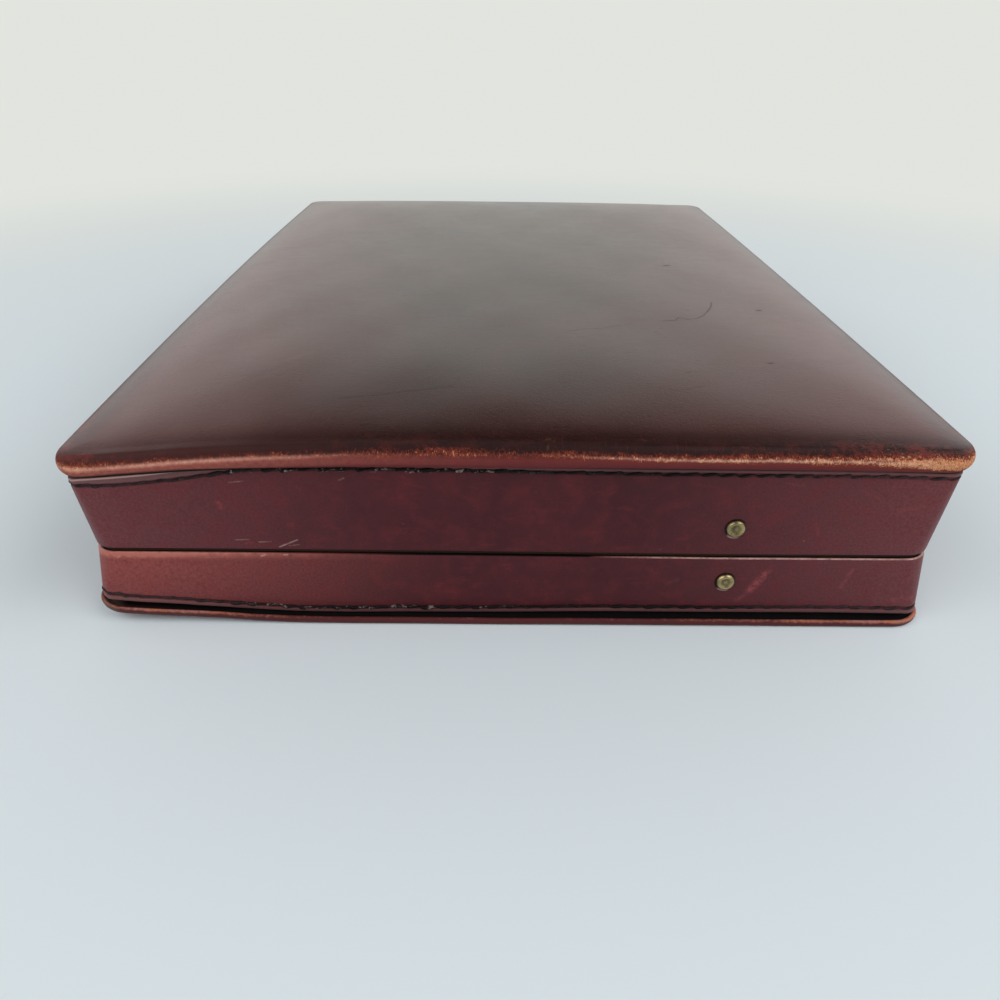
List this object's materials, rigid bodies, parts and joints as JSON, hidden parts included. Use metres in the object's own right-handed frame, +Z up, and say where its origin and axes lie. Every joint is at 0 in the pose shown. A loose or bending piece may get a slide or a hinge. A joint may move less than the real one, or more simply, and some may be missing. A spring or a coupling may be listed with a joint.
{
  "type": "attache case",
  "caption": "Hard attache case of stitched belting leather over wooden frames, with a padded hinged lid, folding lid stays, sprung side locks and a swinging handle.",
  "frame": {"origin": "middle of the underside, on the surface that the case lies on", "axes": "+Z up; +Y along the length of the case; +X towards the hinge, so the handle and locks are at -X"},
  "size_m": [0.3788, 0.4588, 0.0841],
  "materials": {
    "base_leather": "worn smooth belting leather, oxblood",
    "wall_leather": "smooth belting leather, oxblood, cut edges",
    "top_leather": "smooth belting leather, dark oxblood, rubbed tan along the rolled edge",
    "handle_leather": "stitched leather over a core",
    "pocket_leather": "thin suede-backed leather",
    "plywood": "birch plywood",
    "padding": "felt and foam padding",
    "lining": "woven lining on card",
    "brass": "satin brass",
    "aged_brass": "aged brass",
    "steel": "brushed steel"
  },
  "bodies": {
    "base": {"base_panel": "base_leather", "base_board": "plywood", "base_frame": "plywood", "base_wall": "wall_leather", "base_lining": "lining", "base_hinge_leaf": "brass", "hinge_pin": "steel", "base_hinge_screws": "brass", "base_stay_rivets": "aged_brass", "near_lock_plate": "brass", "far_lock_plate": "brass", "near_lock_case": "brass", "far_lock_case": "brass", "lock_rivets": "aged_brass", "near_handle_bracket": "brass", "far_handle_bracket": "brass", "near_handle_pin": "steel", "far_handle_pin": "steel", "handle_bracket_rivets": "aged_brass"},
    "lid": {"lid_panel": "top_leather", "lid_pad": "padding", "lid_board": "plywood", "lid_frame": "plywood", "lid_wall": "wall_leather", "lid_lining": "lining", "lid_pocket": "pocket_leather", "pocket_gussets": "top_leather", "lid_hinge_leaf": "brass", "lid_hinge_screws": "brass", "lid_stay_rivets": "aged_brass", "near_hasp_plate": "brass", "far_hasp_plate": "brass", "near_hasp_pin": "steel", "far_hasp_pin": "steel", "hasp_plate_rivets": "aged_brass"},
    "near_base_link": {"near_base_link": "brass", "near_knee_rivet": "steel"},
    "far_base_link": {"far_base_link": "brass", "far_knee_rivet": "steel"},
    "near_lid_link": {"near_lid_link": "brass"},
    "far_lid_link": {"far_lid_link": "brass"},
    "near_hasp": {"near_hasp": "brass"},
    "far_hasp": {"far_hasp": "brass"},
    "near_button": {"near_lock_button": "brass"},
    "far_button": {"far_lock_button": "brass"},
    "handle": {"near_handle_end": "brass", "far_handle_end": "brass", "handle_core": "steel", "handle_grip": "handle_leather"}
  },
  "joints": [
    {"name": "lid_hinge", "type": "hinge", "parent": "base", "child": "lid", "pos_m": [0.1624, 0, 0.032], "axis": [0, 1, 0], "range_deg": [0, 95]},
    {"name": "near_base_link_pivot", "type": "hinge", "parent": "base", "child": "near_base_link", "pos_m": [0.0824, -0.2166, 0.0192], "axis": [0, 1, 0], "range_deg": [0, 95]},
    {"name": "near_lid_link_pivot", "type": "hinge", "parent": "lid", "child": "near_lid_link", "pos_m": [0.0824, -0.2151, 0.0437], "axis": [0, 1, 0], "range_deg": [-95, 0]},
    {"name": "near_hasp_pivot", "type": "hinge", "parent": "lid", "child": "near_hasp", "pos_m": [-0.1632, -0.14, 0.044], "axis": [0, 1, 0], "range_deg": [0, 115]},
    {"name": "near_button_slide", "type": "slide", "parent": "base", "child": "near_button", "axis": [0, -1, 0], "range_m": [0, 0.005], "stiffness_N_per_m": 200, "springref_m": -0.002},
    {"name": "far_base_link_pivot", "type": "hinge", "parent": "base", "child": "far_base_link", "pos_m": [0.0824, 0.2166, 0.0192], "axis": [0, 1, 0], "range_deg": [0, 95]},
    {"name": "far_lid_link_pivot", "type": "hinge", "parent": "lid", "child": "far_lid_link", "pos_m": [0.0824, 0.2151, 0.0437], "axis": [0, 1, 0], "range_deg": [-95, 0]},
    {"name": "far_hasp_pivot", "type": "hinge", "parent": "lid", "child": "far_hasp", "pos_m": [-0.1632, 0.14, 0.044], "axis": [0, 1, 0], "range_deg": [0, 115]},
    {"name": "far_button_slide", "type": "slide", "parent": "base", "child": "far_button", "axis": [0, 1, 0], "range_m": [0, 0.005], "stiffness_N_per_m": 200, "springref_m": -0.002},
    {"name": "handle_swing", "type": "hinge", "parent": "base", "child": "handle", "pos_m": [-0.169, 0, 0.0165], "axis": [0, 1, 0], "range_deg": [0, 96]}
  ],
  "couplings": [
    {"joint": "near_base_link_pivot", "follows": "lid_hinge", "ratio": 1},
    {"joint": "near_lid_link_pivot", "follows": "lid_hinge", "ratio": -1},
    {"joint": "far_base_link_pivot", "follows": "lid_hinge", "ratio": 1},
    {"joint": "far_lid_link_pivot", "follows": "lid_hinge", "ratio": -1}
  ]
}
